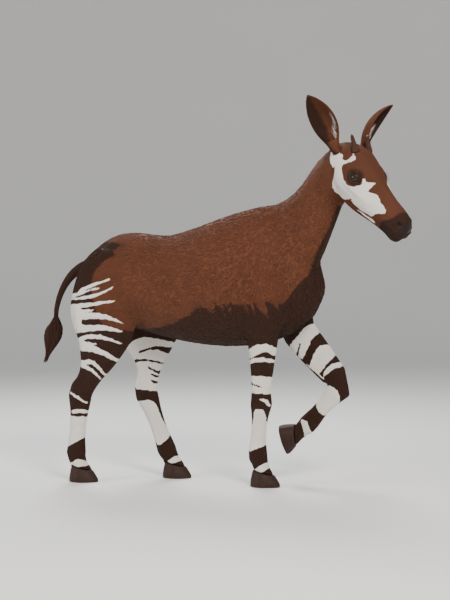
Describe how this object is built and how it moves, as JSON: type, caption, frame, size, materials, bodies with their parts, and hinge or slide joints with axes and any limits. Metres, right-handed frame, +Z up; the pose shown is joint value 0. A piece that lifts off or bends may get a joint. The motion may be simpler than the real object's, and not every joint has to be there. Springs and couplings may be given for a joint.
{
  "type": "okapi model",
  "caption": "Life-size still okapi bull in mid walk, a foreleg lifted and the head turned aside, with cupped ears, short ossicones, cloven hooves and a tufted tail.",
  "frame": {"origin": "on the floor under the middle of the animal's outline", "axes": "+X ahead along the trunk, +Y to the animal's left, +Z up"},
  "size_m": [2.0833, 0.6696, 2.0391],
  "materials": {
    "coat": "short velvety hair",
    "dark_coat": "short velvety hair",
    "hoof_horn": "dull horn",
    "ossicone_skin": "short hair with bare tips",
    "eye": "wet gloss"
  },
  "bodies": {
    "root": {"head": "coat", "ear_right": "dark_coat", "ossicone_right": "ossicone_skin", "eye_right": "eye", "ear_left": "dark_coat", "ossicone_left": "ossicone_skin", "eye_left": "eye", "neck": "coat", "torso": "coat", "foreleg_right_arm": "coat", "foreleg_right_forearm": "dark_coat", "foreleg_right_cannon": "dark_coat", "foreleg_right_claw_1": "hoof_horn", "foreleg_right_claw_2": "hoof_horn", "foreleg_left_arm": "coat", "foreleg_left_forearm": "dark_coat", "foreleg_left_cannon": "dark_coat", "foreleg_left_claw_1": "hoof_horn", "foreleg_left_claw_2": "hoof_horn", "hindleg_right_thigh": "coat", "hindleg_right_shank": "dark_coat", "hindleg_right_cannon": "dark_coat", "hindleg_right_claw_1": "hoof_horn", "hindleg_right_claw_2": "hoof_horn", "hindleg_left_thigh": "coat", "hindleg_left_shank": "dark_coat", "hindleg_left_cannon": "dark_coat", "hindleg_left_claw_1": "hoof_horn", "hindleg_left_claw_2": "hoof_horn", "tail_dock": "dark_coat", "tail_tuft": "dark_coat"}
  },
  "joints": []
}
